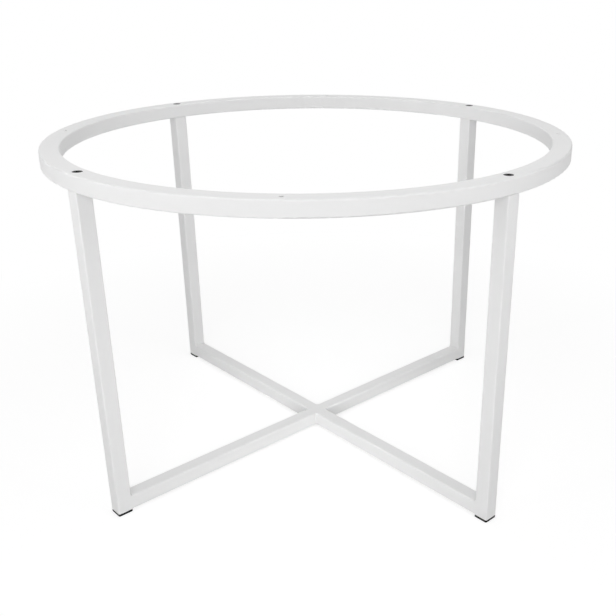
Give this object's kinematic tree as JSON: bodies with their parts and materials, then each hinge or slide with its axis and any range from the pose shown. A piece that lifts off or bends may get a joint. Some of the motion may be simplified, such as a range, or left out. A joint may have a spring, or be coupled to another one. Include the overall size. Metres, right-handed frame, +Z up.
{
  "type": "coffee table frame",
  "caption": "Round coffee table frame of white powder-coated steel tube: a flat top ring screwed on upright legs, tied low down by a flush welded cross, on black plastic foot caps.",
  "frame": {"origin": "on the floor under the middle of the ring", "axes": "+Z up, out of the ring; -Y towards the front, midway between two legs; +X to the right seen from the front"},
  "size_m": [0.7, 0.7, 0.454],
  "materials": {
    "white_powder_coat": "satin white powder coat on steel",
    "plain_steel": "plain zinc-plated steel",
    "black_screw_steel": "blackened steel",
    "black_plastic": "fine moulded texture"
  },
  "bodies": {
    "root": {"top_ring": "white_powder_coat", "leg_front_left": "white_powder_coat", "leg_front_right": "white_powder_coat", "leg_back_right": "white_powder_coat", "leg_back_left": "white_powder_coat", "cross_bar_through": "white_powder_coat", "cross_bar_half_front": "white_powder_coat", "cross_bar_half_back": "white_powder_coat", "nut_plate_front_left": "plain_steel", "nut_plate_front_right": "plain_steel", "nut_plate_back_right": "plain_steel", "nut_plate_back_left": "plain_steel", "ring_screws": "black_screw_steel", "foot_cap_front_left": "black_plastic", "foot_cap_front_right": "black_plastic", "foot_cap_back_right": "black_plastic", "foot_cap_back_left": "black_plastic"}
  },
  "joints": []
}
